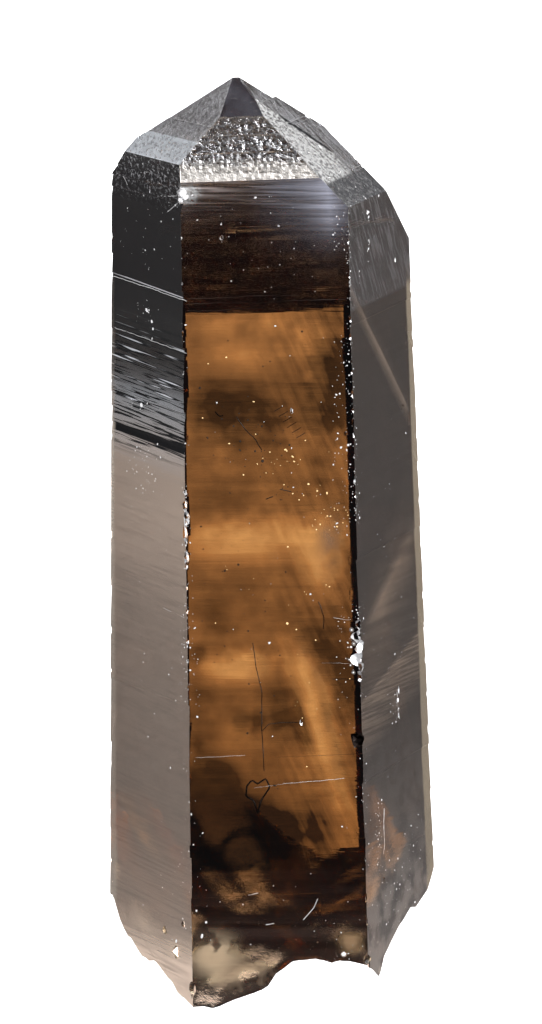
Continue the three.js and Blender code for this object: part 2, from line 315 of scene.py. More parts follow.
def cutBody(shape, kinds):
    # growth went on in level steps, so the long faces are cut level at uneven heights, and the
    # point finely
    broken = kindNames.index("break")

    def heightOf(face):
        return (partToCrystal @ face.calc_center_median()).y

    def whole():
        return [face for face in shape.faces if face[kinds] != broken]

    def atPoint():
        return [face for face in whole() if heightOf(face) > body["pointFrom"]]

    half, fine = body["halfWidth"], body["pointPitch"]
    sweep(shape, whole(), (0, 1, 0), uneven(body["foot"], body["pointFrom"], body["levelPitch"]))
    sweep(shape, whole(), (1, 0, 0), steady(-half, half, body["lengthPitch"]))
    sweep(shape, whole(), (0, 0, 1), steady(-half, half, body["lengthPitch"]))
    sweep(shape, atPoint(), (0, 1, 0), steady(body["pointFrom"], body["top"], fine))
    sweep(shape, atPoint(), (1, 0, 0), steady(-half, half, fine))
    sweep(shape, atPoint(), (0, 0, 1), steady(-half, half, 2 * fine))


def refineBreak(shape, kinds):
    # the break is cut finer and eased, so that its hollows are round
    broken = kindNames.index("break")
    bmesh.ops.triangulate(shape, faces=[face for face in shape.faces if face[kinds] == broken])
    edges = {edge for face in shape.faces if face[kinds] == broken for edge in face.edges}
    bmesh.ops.subdivide_edges(shape, edges=list(edges), cuts=body["breakCuts"], use_grid_fill=True)
    free = [vert for vert in shape.verts if all(face[kinds] == broken for face in vert.link_faces)]
    for _ in range(body["breakSmoothing"]):
        bmesh.ops.smooth_vert(
            shape, verts=free, factor=body["breakEase"],
            use_axis_x=True, use_axis_y=True, use_axis_z=True,
        )


longNames = ("front", "frontRight", "backRight", "back", "backLeft", "frontLeft")
# Which kinds of face each mark stands for, and those that the relief asks for away from the edges.
marks = {
    "etched": (
        "shoulder", "pointFrontRight", "pointBackRight",
        "pointBack", "pointBackLeft", "pointFrontLeft",
    ),
    "front": ("front",),
    "frontLeft": ("frontLeft",),
    "frontRight": ("frontRight",),
    "shoulder": ("shoulder",),
    "tip": ("pointFront",),
    "pointLeft": ("pointFrontLeft",),
    "pointRight": ("pointFrontRight",),
    "backs": ("pointBackRight", "pointBack", "pointBackLeft"),
    "hidden": ("backRight", "back", "backLeft"),
    "scarred": ("scar",),
    "stepped": ("step",),
    "broken": ("break",),
}
clearMarks = {"long": longNames, "etched": marks["etched"], "broken": marks["broken"]}


def markFaces(shape, kinds, mesh):
    # a mark on each face for the material, and one on each point clear of its face's edges for
    # the relief
    broken = kindNames.index("break")
    named = [kindNames[face[kinds]] for face in shape.faces]
    clear = []
    for vert in shape.verts:
        around = {face[kinds] for face in vert.link_faces}
        clear.append(kindNames[around.pop()] if len(around) == 1 else "")
    for face in shape.faces:
        face.smooth = face[kinds] == broken
    shape.faces.layers.int.remove(kinds)
    shape.to_mesh(mesh)
    for name, members in marks.items():
        onFaces = mesh.attributes.new(name, "FLOAT", "FACE")
        onFaces.data.foreach_set("value", [float(kind in members) for kind in named])
    for name, members in clearMarks.items():
        onPoints = mesh.attributes.new(name + "Clear", "FLOAT", "POINT")
        onPoints.data.foreach_set("value", [float(kind in members) for kind in clear])


def buildBody():
    shape, kinds = startBody()
    cutBody(shape, kinds)
    refineBreak(shape, kinds)
    mesh = bpy.data.meshes.new("crystalBody")
    markFaces(shape, kinds, mesh)
    shape.free()
    piece = bpy.data.objects.new("crystalBody", mesh)
    bpy.context.scene.collection.objects.link(piece)
    return piece


crystalBody = buildBody()
print("body cut up:", len(crystalBody.data.polygons), "faces")


def geometryTree(name, inputs):
    # an empty Geometry Nodes tree with a named number for each of its sizes
    tree = bpy.data.node_groups.new(name, "GeometryNodeTree")
    tree.is_modifier = True
    for way in ("INPUT", "OUTPUT"):
        tree.interface.new_socket("Geometry", in_out=way, socket_type="NodeSocketGeometry")
    for label in inputs:
        kind = "NodeSocketInt" if label == "seed" else "NodeSocketFloat"
        tree.interface.new_socket(label, in_out="INPUT", socket_type=kind)
    board = Board(tree)
    enter = tree.nodes.new("NodeGroupInput")
    given = {socket.name: Wire(board, socket) for socket in enter.outputs if socket.name}
    return board, given


def closeTree(board, geometry, material):
    whole = board.node("GeometryNodeRealizeInstances", None, {"Geometry": geometry})
    done = board.node("GeometryNodeSetMaterial", None, {"Geometry": whole, "Material": material})
    board.plug(board.tree.nodes.new("NodeGroupOutput").inputs["Geometry"], done)


def makePlain(piece, board, values):
    # runs the tree on the piece with these values and keeps the result as a plain mesh
    modifier = piece.modifiers.new(board.tree.name, "NODES")
    modifier.node_group = board.tree
    for item in board.tree.interface.items_tree:
        if item.in_out == "INPUT" and item.name in values:
            modifier[item.identifier] = values[item.name]
    shown = piece.evaluated_get(bpy.context.evaluated_depsgraph_get())
    plain = bpy.data.meshes.new_from_object(shown)
    piece.modifiers.clear()
    piece.data = plain
    plain.name = piece.name


def crystalPlace(board):
    # a point of the part in the crystal's own millimetres
    x, y, z = board.parts(board.node("GeometryNodeInputPosition"))
    shiftX, shiftY, shiftZ = lying["shift"]
    tilt = math.radians(lying["tilt"])
    y = y / mm - shiftY
    z = z / mm - shiftZ
    along = y * math.cos(tilt) - z * math.sin(tilt)
    up = y * math.sin(tilt) + z * math.cos(tilt)
    return x / mm - shiftX, along, up


def nearPlane(board, place, name, reach):
    # 0 where a point lies deeper below a face's plane than the first reach, 1 above the second
    facing, out = planes[name]
    gap = place[0] * facing.x + place[1] * facing.y + place[2] * facing.z - out
    return gap.rise(-reach[0], -reach[1])


# The relief of the body's skin. Depths go inwards. Millimetres, made metres where the tree gets
# them.
relief = {
    "step depth": 0.03,
    "step pitch": 0.7,
    "step reach": 11.0,
    "etch depth": 0.09,
    "etch size": 0.42,
    "break depth": 0.3,
    "break size": 1.5,
    "ripple depth": 0.05,
    "ripple size": 0.45,
}
# Where the noise begins and ends to cut steps and etching, and how far below the long faces the
# break's relief fades out, so that it leaves their edges whole.
reliefSpans = {"steps": (0.35, 0.75), "etch": (0.3, 0.7), "break": (1.4, 0.3)}


def nearLongFaces(board):
    place = crystalPlace(board)
    near = nearPlane(board, place, longNames[0], reliefSpans["break"])
    for name in longNames[1:]:
        near = near.most(nearPlane(board, place, name, reliefSpans["break"]))
    return near


def reliefTree(material):
    board, given = geometryTree("growthRelief", relief)
    place = board.node("GeometryNodeInputPosition")
    x, y, z = board.parts(place)
    tilt = math.radians(lying["tilt"])
    level = y * math.cos(tilt) - z * math.sin(tilt)

    def clear(mark):
        named = {"Name": mark + "Clear"}
        return board.node("GeometryNodeInputNamedAttribute", {"data_type": "FLOAT"}, named)

    def grain(size, detail):
        return board.noise(board.vector("DIVIDE", place, board.join(size, size, size)), 1, detail)

    reach = given["step reach"]
    steps = board.noise(board.join(x / reach, level / given["step pitch"], z / reach), 1, detail=3)
    steps = steps.rise(*reliefSpans["steps"])
    etch = grain(given["etch size"], 2).rise(*reliefSpans["etch"])
    depth = clear("long") * given["step depth"] * steps
    depth = depth + clear("etched") * given["etch depth"] * etch
    carved = given["break depth"] * grain(given["break size"], 2)
    carved = carved + given["ripple depth"] * grain(given["ripple size"], 1)
    depth = depth + clear("broken") * (1 - nearLongFaces(board)) * carved
    down = 0 - depth
    normal = board.node("GeometryNodeInputNormal")
    inward = board.vector("MULTIPLY", normal, board.join(down, down, down))
    sockets = {"Geometry": given["Geometry"], "Offset": inward}
    moved = board.node("GeometryNodeSetPosition", None, sockets)
    closeTree(board, moved, material)
    return board


# The glass, and what lies on and in it. Places are in the crystal's millimetres.
glass = {
    "ior": 1.55,
    "polish": 0.015,
    "smoke": (0.726, 0.472, 0.071),
    "smokeDensity": 119.0,
    # The side and point faces: an even tint of painted shade in place of the front's clouds.
    "paintedSideShade": (0.42, 0.36, 0.33),
}
# How smoky the front is from place to place: the share that it starts from, what each noise adds to
# it and how far each pushes the clouds about, and the tint for each share. The layers slant with
# depth.
smoke = {
    "level": 0.66,
    "slant": 0.16,
    "drift": {"size": 5.0, "amount": 0.8, "push": 4.0, "streakPush": 1.2},
    "fine": {"amount": 0.75, "pushAcross": 2.0, "pushAlong": 2.2},
    "layers": {"amount": 0.4},
    "streaks": {
        "slope": 0.42, "along": 0.12, "slice": 3.0, "size": 0.8, "sets in": (-4, 4), "amount": 0.9,
    },
    "tints": [
        (0, (1, 1, 1)),
        (0.3, (0.62, 0.52, 0.46)),
        (0.6, (0.29, 0.24, 0.225)),
        (1, (0.008, 0.006, 0.007)),
    ],
}
# Clouds of smoke as seen from above: middle, reach either way, and strength, below zero where the
# glass is clearer. The two by the foot at the left are painted shade.
clouds = [
    ((-3.0, 18.4), (7.0, 3.4), -0.24),
    ((5.5, 12.6), (2.6, 6.5), 0.48),
    ((-3.7, 11.2), (6.6, 4.0), 0.38),
    ((-1.5, -1.6), (9.5, 2.7), -0.62),
    ((4.6, -3.6), (2.3, 4.2), -0.8),
    ((-3.4, -7.9), (6.8, 3.0), 0.1),
    ((4.8, -12.0), (3.0, 4.2), 0.34),
    ((6.4, -17.2), (1.9, 3.8), 0.52),
    ((-4.4, -14.6), (4.4, 1.9), -0.72),
    ((0.9, -19.7), (2.8, 3.2), 0.4),
    ((-2.9, -20.2), (1.0, 1.5), 0.35),
    ((-8.0, -19.0), (1.6, 5.0), 0.25),
    ((-5.0, -22.0), (2.4, 3.0), -0.08),
    # Painted shade where the glass looks black by the foot at the left.
    ((-6.0, -31.6), (6.4, 4.6), 1.0),
    ((-7.4, -26.5), (3.4, 3.4), 0.7),
    ((1.0, -31.5), (4.0, 3.0), 0.35),
    ((-8.8, -13.0), (1.3, 1.4), 0.4),
]
goldStreak = {"slope": 0.246, "middle": (-1.43, -20.5), "reach": (1.5, 10.0), "strength": -0.98}
patchEdge = (1.3, 0.2)  # a patch ends at the first share of its reach and is full at the second


def patch(board, at, middle, reach, strength):
    away = board.vector("DIVIDE", board.vector("SUBTRACT", at, (*middle, 0)), (*reach, 1))
    return board.vector("LENGTH", away, (0, 0, 0), "Value").rise(*patchEdge) * strength


def smokeAndShadeTint(board, place, textures):
    # smoke lies along slanting growth layers, so every face shows it at one slant
    x, y, z = place
    drifting, cloudy, streaked = (smoke[name] for name in ("drift", "fine", "streaks"))
    layer = y - z * smoke["slant"]
    drift = board.noise(board.join(x, layer, 0.0), drifting["size"]) - 0.5
    aside = x + layer * streaked["slope"]
    streakAt = board.join(aside, layer * streaked["along"], streaked["slice"])
    streaks = board.noise(streakAt, streaked["size"]) - 0.5
    fine = textures["cloud"] - 0.5
    amount = smoke["level"] + drift * drifting["amount"] + fine * cloudy["amount"]
    amount = amount + (textures["layers"] - 0.5) * smoke["layers"]["amount"]
    amount = amount + streaks * x.rise(*streaked["sets in"], streaked["amount"])
    pushed = x + drift * drifting["push"] + fine * cloudy["pushAcross"]
    at = board.join(pushed, layer + fine * cloudy["pushAlong"], 0.0)
    for middle, reach, strength in clouds:
        amount = amount + patch(board, at, middle, reach, strength)
    slanted = x + layer * goldStreak["slope"] + drift * drifting["streakPush"]
    streak = (goldStreak[name] for name in ("middle", "reach", "strength"))
    amount = amount + patch(board, board.join(slanted, layer, 0.0), *streak)
    return board.ramp(amount, smoke["tints"])


veilTint = 3.0  # how much sooner than its gloss a veil's colour takes over


def layVeil(board, look, mask, colour, rough, tint=veilTint):
    # lays one veil over the look so far
    look["colour"] = board.mix(mask * tint, look["colour"], colour)
    look["metal"] = board.blend(mask, look["metal"], 1.0)
    look["rough"] = board.blend(mask, look["rough"], rough)


def mapToCrystal(board):
    # a point of the skin in the crystal's own millimetres
    sockets = {
        "Vector": board.node("ShaderNodeTexCoord", None, None, "Object"),
        "Location": partToCrystal.to_translation(),
        "Rotation": (math.radians(lying["tilt"]), 0, 0),
        "Scale": (1 / mm,) * 3,
    }
    return board.node("ShaderNodeMapping", None, sockets)


# Textures that break up the veils: how place across and height make each one's two directions, and
# its size.
grains = {
    "lines": {
        "first": (0.028, 0.0), "second": (0.05, 1.0),
        "size": 0.24, "detail": 2, "rough": 0.6,
    },
    "layers": {
        "first": (0.035, 0.0), "second": (0.05, 1.0),
        "size": 1.3, "detail": 2, "rough": 0.5,
    },
    "speckle": {
        "first": (0.8, 0.0), "second": (0.3, 1.0),
        "size": 0.34, "detail": 3, "rough": 0.7,
    },
    "cloud": {
        "first": (1.0, 0.0), "second": (0.0, 1.0),
        "size": 2.6, "detail": 2, "rough": 0.5,
    },
    "falls": {
        "first": (1.0, 0.47), "second": (0.0, 0.12),
        "size": 0.4, "detail": 2, "rough": 0.6,
    },
}
# Veils over the faces, laid as thin metallic layers. On the etched faces they are frost; on the
# front and side faces they are mostly painted light: the pale ones painted sheen, reflection and
# light shining through, the near-black ones painted shade. The strength runs straight between the
# given heights, and likewise across. The slope tips the heights by place across. The grain is a
# texture, the span in which it rises and what is left where it is low.
veilsOfFrostAndPaintedLight = [
    # Left face: near-black veils paint shade, pale ones paint light and a glint, the top speckle is
    # frost.
    {
        "face": "frontLeft", "colour": (0.015, 0.012, 0.014), "rough": 0.25,
        "heights": [(-10, 0.0), (12, 0.1), (22, 0.4), (26, 0.65), (36, 0.65), (38, 0.3)],
    },
    {
        "face": "frontLeft", "colour": (0.8, 0.83, 0.88), "rough": 0.35,
        "heights": [(-4, 0.0), (3, 0.24), (9.0, 0.62), (13.6, 0.44), (16, 0.1), (18, 0.0)],
    },
    {
        "face": "frontLeft", "colour": (0.88, 0.69, 0.56), "rough": 0.35,
        "heights": [
            (-43, 1.0), (-39, 0.58), (-30, 0.4), (-16, 0.45), (-8, 0.5), (-2, 0.62), (3, 0.58),
            (8, 0.26), (14, 0.0),
        ],
        "grain": ("lines", 0.3, 0.6, 0.8),
    },
    {
        "face": "frontLeft", "colour": (0.01, 0.01, 0.012), "rough": 0.25,
        "heights": [(7.5, 0.0), (9, 0.35), (13, 1.0), (19, 1.0), (22, 0.0)],
        "grain": ("lines", 0.5, 0.57, 0.0),
    },
    {
        "face": "frontLeft", "colour": (0.01, 0.01, 0.012), "rough": 0.25, "slope": 0.035,
        "heights": [(9.35, 0.0), (9.5, 0.85), (9.8, 0.9), (10.1, 0.3), (10.5, 0.0)],
    },
    {
        "face": "frontLeft", "colour": (0.85, 0.87, 0.92), "rough": 0.4,
        "heights": [(12, 0.0), (14, 0.55), (17, 0.35), (20, 0.25), (22, 0.0)],
        "grain": ("lines", 0.6, 0.68, 0.0),
    },
    {
        "face": "frontLeft", "colour": (0.9, 0.9, 0.95), "rough": 0.4, "slope": 0.05,
        "heights": [(25.0, 0.0), (25.08, 0.6), (25.16, 0.0)],
    },
    {
        "face": "frontLeft", "colour": (0.9, 0.9, 0.95), "rough": 0.4,
        "heights": [(33, 0.0), (36, 0.3), (38, 0.5)],
        "grain": ("speckle", 0.5, 0.7, 0.0),
    },
    # A nicked outer edge, pale with painted light coming through it.
    {
        "face": "frontLeft", "colour": (0.92, 0.8, 0.68), "rough": 0.4,
        "heights": [(-36, 0.25), (10, 0.28), (16, 0.14), (24, 0.08), (26, 0.0)],
        "across": [(-7.2, 1.0), (-6.7, 0.9), (-6.2, 0.0)],
    },
    # Right face: the dark veil paints shade, the pale and warm ones paint sheen and lighter bands.
    {
        "face": "frontRight", "colour": (0.1, 0.045, 0.015), "rough": 0.2,
        "heights": [(-36, 0.0), (-30, 0.3), (22.7, 0.34), (23.1, 0.1), (30, 0.0)],
    },
    {
        "face": "frontRight", "colour": (0.85, 0.85, 0.9), "rough": 0.4,
        "heights": [(22.7, 0.0), (23.1, 0.16), (31, 0.24), (36, 0.3)],
        "grain": ("falls", 0.45, 0.62, 0.1),
    },
    {
        "face": "frontRight", "colour": (0.85, 0.62, 0.45), "rough": 0.35, "slope": 1.17,
        "heights": [(15.5, 0.0), (16.6, 0.12), (17.6, 0.28), (18.0, 0.04), (19.5, 0.0)],
        "across": [(-5, 0.7), (0, 1.0), (5.5, 0.8), (6.5, 0.0)],
    },
    {
        "face": "frontRight", "colour": (0.85, 0.6, 0.42), "rough": 0.35, "slope": -0.6,
        "heights": [(-14, 0.0), (-9, 0.16), (-6, 0.32), (-4.5, 0.08), (0, 0.0)],
        "across": [(-7, 0.2), (-2, 1.0), (5, 0.7), (7, 0.3)],
        "grain": ("layers", 0.35, 0.6, 0.5),
    },
    {
        "face": "frontRight", "colour": (0.85, 0.62, 0.45), "rough": 0.35, "slope": -0.27,
        "heights": [(-21, 0.0), (-19, 0.14), (-14.6, 0.3), (-14.2, 0.08), (-9, 0.0)],
        "grain": ("lines", 0.4, 0.62, 0.35),
    },
    {
        "face": "frontRight", "colour": (0.8, 0.68, 0.6), "rough": 0.4,
        "heights": [(-44, 0.6), (-38, 0.4), (-33, 0.14), (-26, 0.08), (-20, 0.0)],
        "grain": ("cloud", 0.35, 0.6, 0.4),
    },
    # A nicked outer edge, pale with painted light coming through it.
    {
        "face": "frontRight", "colour": (0.86, 0.7, 0.5), "rough": 0.4,
        "heights": [(-34, 0.4), (23, 0.5), (23.5, 0.15), (26, 0.0)],
        "across": [(6.5, 0.0), (6.9, 0.9), (7.8, 1.0)],
    },
    # The top of the front: a painted sheen, the reflection of the light above, grey-brown to
    # blue-grey.
    {
        "face": "front", "colour": (0.74, 0.62, 0.59), "rough": 0.55,
        "heights": [(28, 0.0), (31, 0.15), (33, 0.5), (35.5, 0.98), (36.6, 1.0)],
        "across": [(-9.5, 1.0), (-1, 0.75), (7, 0.1)],
        "grain": ("lines", 0.36, 0.66, 0.4),
    },
    {
        "face": "front", "colour": (0.82, 0.84, 1.0), "rough": 0.55,
        "heights": [(24, 0.0), (28, 0.2), (32.0, 0.85), (36.6, 1.0)],
        "across": [(-3, 0.0), (2.5, 0.6), (5.2, 1.0), (7.2, 0.7)],
        "grain": ("lines", 0.2, 0.7, 0.72),
    },
    # A painted glow over the amber, and a brighter golden patch of painted light.
    {
        "face": "front", "colour": (0.9, 0.7, 0.5), "rough": 0.5, "tint": 1.0,
        "heights": [(-26, 0.0), (-22, 0.05), (-4, 0.12), (4, 0.05), (20, 0.02), (24, 0.0)],
        "grain": ("cloud", 0.4, 0.62, 0.4),
    },
    {
        "face": "front", "colour": (1.0, 0.84, 0.6), "rough": 0.55, "tint": 1.0,
        "patch": ((4.7, 1.0), (1.7, 3.6)), "strength": 0.45, "grain": ("cloud", 0.36, 0.6, 0.3),
    },
    # The knocked corner at the top left: white chips with a painted burst of light.
    {
        "face": "front", "colour": (1.0, 1.0, 1.0), "rough": 0.6,
        "patch": ((-8.9, 35.0), (1.7, 1.2)), "strength": 0.9, "grain": ("speckle", 0.4, 0.6, 0.3),
    },
    # The foot: a painted grey-brown sheen, then cream and amber painted light shining through the
    # break.
    {
        "face": "front", "colour": (0.6, 0.42, 0.35), "rough": 0.5,
        "heights": [(-39, 0.4), (-36, 0.25), (-33.2, 0.16), (-32.9, 0.0)],
        "grain": ("layers", 0.38, 0.64, 0.3),
    },
    {
        "face": "front", "colour": (0.98, 0.76, 0.52), "rough": 0.62,
        "patch": ((-7.8, -41.6), (3.4, 3.0)), "strength": 1.0, "grain": ("cloud", 0.4, 0.5, 0.35),
    },
    {
        "face": "front", "colour": (0.8, 0.58, 0.4), "rough": 0.6,
        "patch": ((-4.0, -44.0), (3.4, 2.2)), "strength": 0.6, "grain": ("cloud", 0.42, 0.55, 0.2),
    },
    {
        "face": "front", "colour": (0.98, 0.64, 0.36), "rough": 0.55,
        "patch": ((5.9, -40.8), (1.5, 1.3)), "strength": 0.85, "grain": ("cloud", 0.35, 0.5, 0.5),
    },
    # A near-black patch on a knock on the right edge paints shade.
    {
        "face": "scarred", "colour": (0.06, 0.045, 0.04), "rough": 0.12,
        "patch": ((7.2, -19.6), (1.6, 1.5)), "strength": 1.0,
    },
    {
        "face": "backs", "colour": (0.8, 0.8, 0.84), "rough": 0.4,
        "heights": [(20, 0.5), (44, 0.5)],
        "grain": ("speckle", 0.4, 0.6, 0.4),
    },
    {
        "face": "hidden", "colour": (0.75, 0.68, 0.62), "rough": 0.4,
        "heights": [(-46, 0.2), (20, 0.1), (40, 0.04)],
        "grain": ("lines", 0.4, 0.62, 0.3),
    },
    {
        "face": "shoulder", "colour": (0.86, 0.87, 0.92), "rough": 0.45,
        "heights": [(36, 0.8), (38, 0.72), (43, 0.55)],
        "grain": ("speckle", 0.38, 0.6, 0.35),
    },
    # A painted highlight: the white band where the shoulder bends away and catches the light above.
    {
        "face": "shoulder", "colour": (1.0, 0.96, 0.92), "rough": 0.68,
        "heights": [(35.8, 0.4), (36.3, 0.95), (37.2, 0.8), (38.0, 0.2), (38.6, 0.0)],
        "across": [(-9.5, 1.0), (0, 0.9), (7, 0.8)],
        "grain": ("lines", 0.34, 0.56, 0.4),
    },
    {
        "face": "tip", "colour": (0.85, 0.86, 0.98), "rough": 0.35,
        "heights": [(40, 0.36), (44, 0.5)],
        "grain": ("cloud", 0.3, 0.6, 0.4),
    },
    {
        "face": "pointLeft", "colour": (0.86, 0.86, 0.9), "rough": 0.35,
        "heights": [(36, 0.5), (39.8, 0.6), (41.5, 0.42), (44, 0.5)],
        "grain": ("speckle", 0.36, 0.62, 0.5),
    },
    {
        "face": "pointLeft", "colour": (0.9, 0.94, 1.0), "rough": 0.4,
        "heights": [
            (36.5, 1.0), (38.0, 0.95), (39.4, 0.7), (39.6, 0.6), (39.7, 1.0), (39.95, 1.0),
            (40.0, 0.0),
        ],
        "grain": ("speckle", 0.34, 0.6, 0.35),
    },
    {
        "face": "pointRight", "colour": (0.62, 0.62, 0.65), "rough": 0.3,
        "heights": [(32, 0.6), (43, 0.6)],
        "grain": ("falls", 0.42, 0.56, 0.25),
    },
    {
        "face": "pointRight", "colour": (1.0, 1.0, 1.0), "rough": 0.45, "slope": 0.86,
        "heights": [(25.5, 0.7), (30, 0.9), (35.0, 0.95), (35.8, 0.9), (36.0, 0.0)],
        "across": [(-4.0, 1.0), (-2.4, 0.75), (-1.2, 0.12), (3.0, 0.0)],
        "grain": ("speckle", 0.4, 0.62, 0.15),
    },
    # On the right point face, the dark veils paint shade.
    {
        "face": "pointRight", "colour": (0.12, 0.12, 0.13), "rough": 0.3,
        "heights": [(33.5, 0.7), (35.2, 0.75), (35.6, 0.0)],
        "grain": ("speckle", 0.42, 0.52, 0.2),
    },
    {
        "face": "pointRight", "colour": (0.02, 0.02, 0.025), "rough": 0.3, "slope": 0.86,
        "heights": [(35.6, 0.0), (35.75, 0.9), (36.0, 0.9), (36.15, 0.0)],
        "across": [(-7.2, 0.0), (-6.6, 1.0), (-2.6, 1.0), (-2.0, 0.0)],
    },
]
# The colour and roughness of the small faces that a knock or a growth step leaves: a pale metal,
# partly the white of a knock and partly painted glints.
knockAndGlint = {"scarred": ((0.95, 0.95, 0.96), 0.5), "stepped": ((0.9, 0.9, 0.92), 0.4)}
# The break is painted pale cream near the front, for the light shining through it there.
shellBreak = {"colour": (0.95, 0.82, 0.64), "shade": 0.25, "rough": 0.22, "nearTop": (0.0, 5.0)}
bumps = {"lines": 0.01, "rugged": 0.09}
# Faces that share a shader of their own. What is in none of these has the last one.
faceGroups = [
    ("front",),
    ("frontLeft",),
    ("frontRight",),
    ("shoulder", "tip"),
    ("pointLeft", "pointRight"),
    (),
]


def profile(board, place, stops):
    # runs straight from one stop's value to the next
    low, high = stops[0][0], stops[-1][0]
    sockets = {"Value": place, "From Min": low, "From Max": high}
    spread = board.node("ShaderNodeMapRange", None, sockets)
    return board.ramp(spread, [((at - low) / (high - low), (value,) * 3) for at, value in stops])


def veilStrength(board, veil, at, on, textures):
    across, y, patchAt = at
    if "patch" in veil:
        strength = patch(board, patchAt, *veil["patch"], veil["strength"])
    else:
        place = y + across * veil["slope"] if "slope" in veil else y
        strength = profile(board, place, veil["heights"])
    strength = strength * on[veil["face"]]
    if "across" in veil:
        strength = strength * profile(board, across, veil["across"])
    if "grain" in veil:
        name, low, high, least = veil["grain"]
        strength = strength * textures[name].rise(low, high, 1.0, least)
    return strength


def acrossFaces(on, x, z):
    # how far across its own face a point lies, where the sides are turned from the front
    turn = math.radians(longFaces["frontRight"][0])
    left = on["frontLeft"] + on["pointLeft"]
    right = on["frontRight"] + on["pointRight"]
    return x * (1 - (left + right) * (1 - math.cos(turn))) + z * (left - right) * math.sin(turn)


def grainTextures(board, across, y):
    made = {}
    for name, grain in grains.items():
        first, second = (
            across * grain[way][0] + y * grain[way][1] for way in ("first", "second")
        )
        at = board.join(first, second, 0.0)
        made[name] = board.noise(at, grain["size"], grain["detail"], grain["rough"])
    return made


def facedGlass(board, look, names, at, on, textures, bump):
    # glass under the veils of these faces, smoky in clouds on the front, and on the faces beside it
    # given an even tint of painted shade
    look = dict(look)
    if names and names != ("front",):
        look["colour"] = (*glass["paintedSideShade"], 1)
    if not names:
        for name, (colour, rough) in knockAndGlint.items():
            layVeil(board, look, on[name], (*colour, 1), rough)
    grouped = sum(faceGroups, ())
    for veil in veilsOfFrostAndPaintedLight:
        if veil["face"] in names or not names and veil["face"] not in grouped:
            strength = veilStrength(board, veil, at, on, textures)
            tint = veil.get("tint", veilTint)
            layVeil(board, look, strength, (*veil["colour"], 1), veil["rough"], tint)
    sockets = {
        "Transmission Weight": 1.0,
        "IOR": glass["ior"],
        "Base Color": look["colour"],
        "Metallic": look["metal"],
        "Roughness": look["rough"],
        "Normal": bump,
    }
    return board.node("ShaderNodeBsdfPrincipled", None, sockets)


def smokyQuartz():
    material = bpy.data.materials.new("smokyQuartz")
    material.use_nodes = True
    material.node_tree.nodes.clear()
    board = Board(material.node_tree)
    at = mapToCrystal(board)
    x, y, z = board.parts(at)
    on = {name: board.attribute(name) for name in marks}
    across = acrossFaces(on, x, z)
    textures = grainTextures(board, across, y)
    colour = smokeAndShadeTint(board, (x, y, z), textures)

    # the break is painted pale cream where it comes up to the front, for the light shining through
    # it, and smoky below
    pale = on["broken"] * z.rise(*shellBreak["nearTop"], 1.0, shellBreak["shade"])
    look = {
        "colour": board.mix(pale, colour, (*shellBreak["colour"], 1)),
        "metal": 0.0,
        "rough": on["broken"] * shellBreak["rough"] + glass["polish"],
    }
    rugged = on["etched"] + on["broken"]
    height = textures["lines"] * bumps["lines"] + rugged * textures["speckle"] * bumps["rugged"]
    bump = board.node("ShaderNodeBump", None, {"Strength": 1.0, "Distance": mm, "Height": height})

    # each group of faces works out only its own veils
    at = (across, y, board.join(x, y, 0.0))
    surface = facedGlass(board, look, faceGroups[-1], at, on, textures, bump)
    for names in faceGroups[-2::-1]:
        own = facedGlass(board, look, names, at, on, textures, bump)
        share = sum(on[name] for name in names)
        surface = board.node("ShaderNodeMixShader", None, {0: share, 1: surface, 2: own})
    sockets = {"Color": (*glass["smoke"], 1), "Density": glass["smokeDensity"]}
    inside = board.node("ShaderNodeVolumeAbsorption", None, sockets)
    board.node("ShaderNodeOutputMaterial", None, {"Surface": surface, "Volume": inside})
    return material


quartz = smokyQuartz()
makePlain(crystalBody, reliefTree(quartz), {name: size * mm for name, size in relief.items()})
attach(crystalBody, "root")
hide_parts("crystal")
print("body made:", len(crystalBody.data.polygons), "faces")

